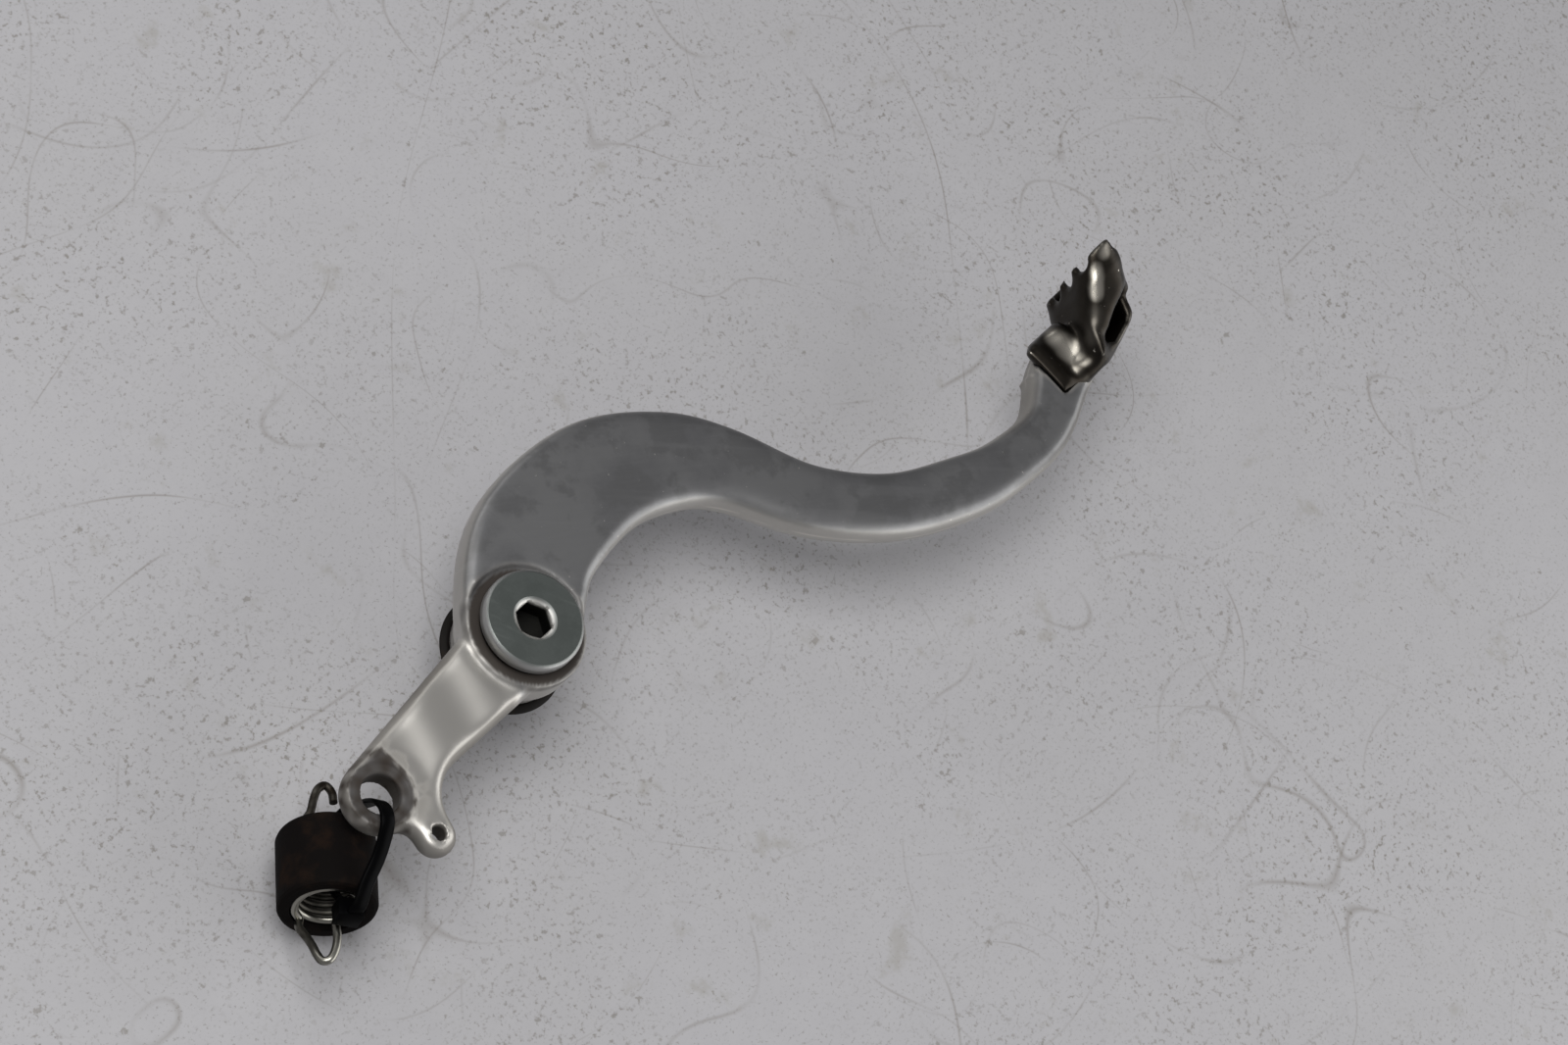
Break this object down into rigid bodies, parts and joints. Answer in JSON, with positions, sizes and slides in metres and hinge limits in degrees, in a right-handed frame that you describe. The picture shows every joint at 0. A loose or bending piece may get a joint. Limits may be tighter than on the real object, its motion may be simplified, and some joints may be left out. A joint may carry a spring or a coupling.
{
  "type": "motorcycle rear brake pedal",
  "caption": "Forged rear brake pedal with a curved arm, toothed toe step, greased pivot bolt, lever eye and ear, and a sleeved return spring tied on.",
  "frame": {"origin": "on the pivot axis, where the bolt's shoulder seats on the motorcycle's frame", "axes": "+Z along the pivot axis, outboard; +X forward to the toe step; +Y up on the motorcycle"},
  "size_m": [0.2869, 0.0871, 0.0505],
  "materials": {
    "pedal_arm": "satin, polished by wear along the edges",
    "toe_step": "dark, worn smooth",
    "step_pin": "plain steel",
    "pivot_bolt": "dull zinc",
    "bushes": "sintered bronze",
    "seals": "matt",
    "return_spring": "dull, stained",
    "spring_sleeve": "matt",
    "cable_tie": "matt"
  },
  "bodies": {
    "pivot": {"pivot_bolt": "pivot_bolt"},
    "pedal": {"pedal_arm": "pedal_arm", "toe_step": "toe_step", "step_pin": "step_pin", "outer_bush": "bushes", "inner_bush": "bushes", "outer_seal": "seals", "inner_seal": "seals", "return_spring": "return_spring", "spring_sleeve": "spring_sleeve", "cable_tie": "cable_tie"}
  },
  "joints": [
    {"name": "pedal_pivot", "type": "hinge", "parent": "pivot", "child": "pedal", "pos_m": [0, 0, 0], "axis": [0, 0, 1], "continuous": true}
  ]
}
